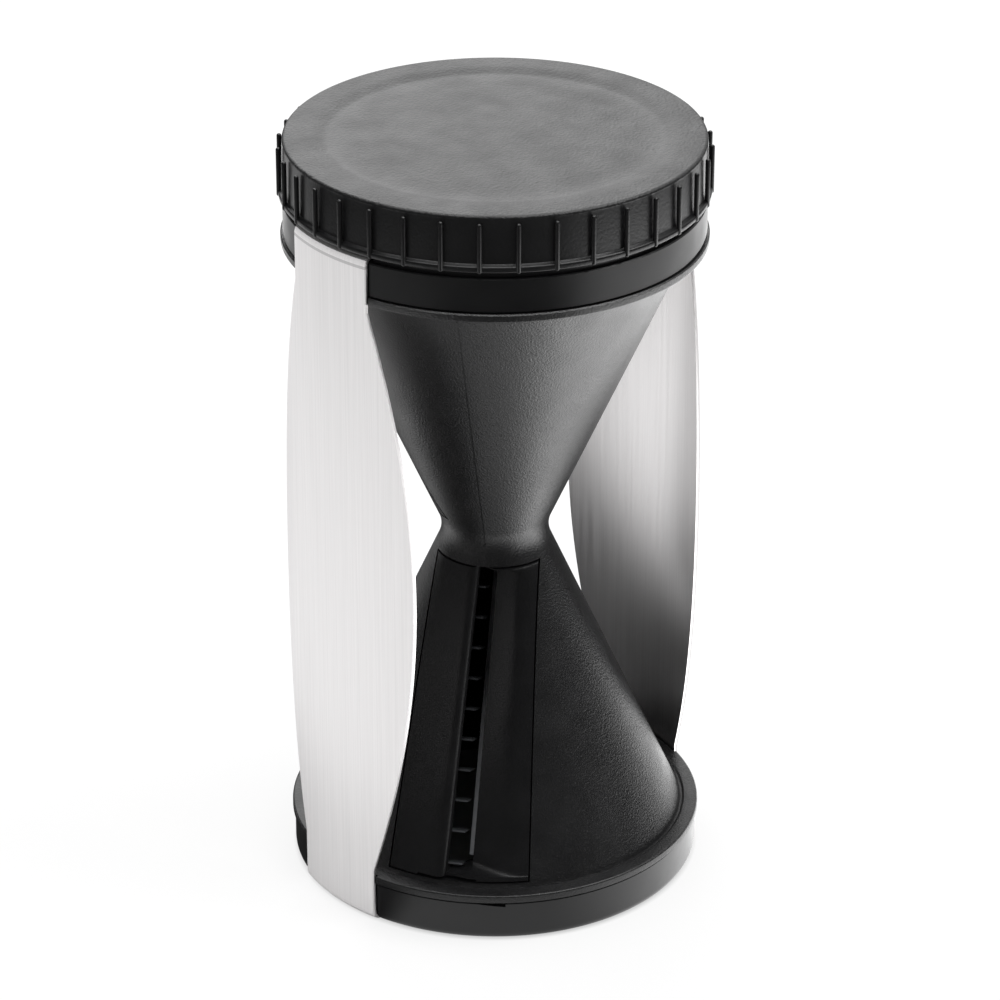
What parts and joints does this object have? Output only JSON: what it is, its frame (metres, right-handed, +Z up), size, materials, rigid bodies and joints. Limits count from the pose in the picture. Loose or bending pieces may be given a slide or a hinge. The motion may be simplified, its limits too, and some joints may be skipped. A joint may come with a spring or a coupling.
{
  "type": "spiralizer",
  "caption": "Hourglass vegetable slicer: a double funnel with slotted blade inserts, steel grip strips and a ribbed guard cap that holds food on spikes.",
  "frame": {"origin": "middle of the foot, on the surface that the slicer stands on", "axes": "+Z up along the funnels' shared axis; the two grip strips lie on the X axis"},
  "size_m": [0.0688, 0.0688, 0.1274],
  "materials": {
    "body_plastic": "fine-grained moulded black plastic",
    "ring_plastic": "satin moulded black plastic",
    "cap_plastic": "moulded black plastic, grained on top and smoother on the skirt",
    "brushed_strip": "brushed lengthwise",
    "blade_steel": "ground and polished"
  },
  "bodies": {
    "slicer_body": {"funnel_body": "body_plastic", "lower_rim_ring": "ring_plastic", "upper_rim_ring": "ring_plastic", "left_grip_strip": "brushed_strip", "right_grip_strip": "brushed_strip", "coarse_blade_carrier": "body_plastic", "coarse_slicing_blade": "blade_steel", "coarse_julienne_comb": "blade_steel", "fine_blade_carrier": "body_plastic", "fine_slicing_blade": "blade_steel", "fine_julienne_comb": "blade_steel"},
    "turning_pin": {"centre_spike": "blade_steel"},
    "guard": {"guard_cap": "cap_plastic", "food_holder": "body_plastic", "outer_spike_1": "blade_steel", "outer_spike_2": "blade_steel", "outer_spike_3": "blade_steel", "outer_spike_4": "blade_steel", "outer_spike_5": "blade_steel"}
  },
  "joints": [
    {"name": "guard_lift", "type": "slide", "parent": "slicer_body", "child": "turning_pin", "axis": [0, 0, 1], "range_m": [0, 0.08]},
    {"name": "guard_turn", "type": "hinge", "parent": "turning_pin", "child": "guard", "pos_m": [0, 0, 0.12], "axis": [0, 0, 1], "continuous": true}
  ]
}
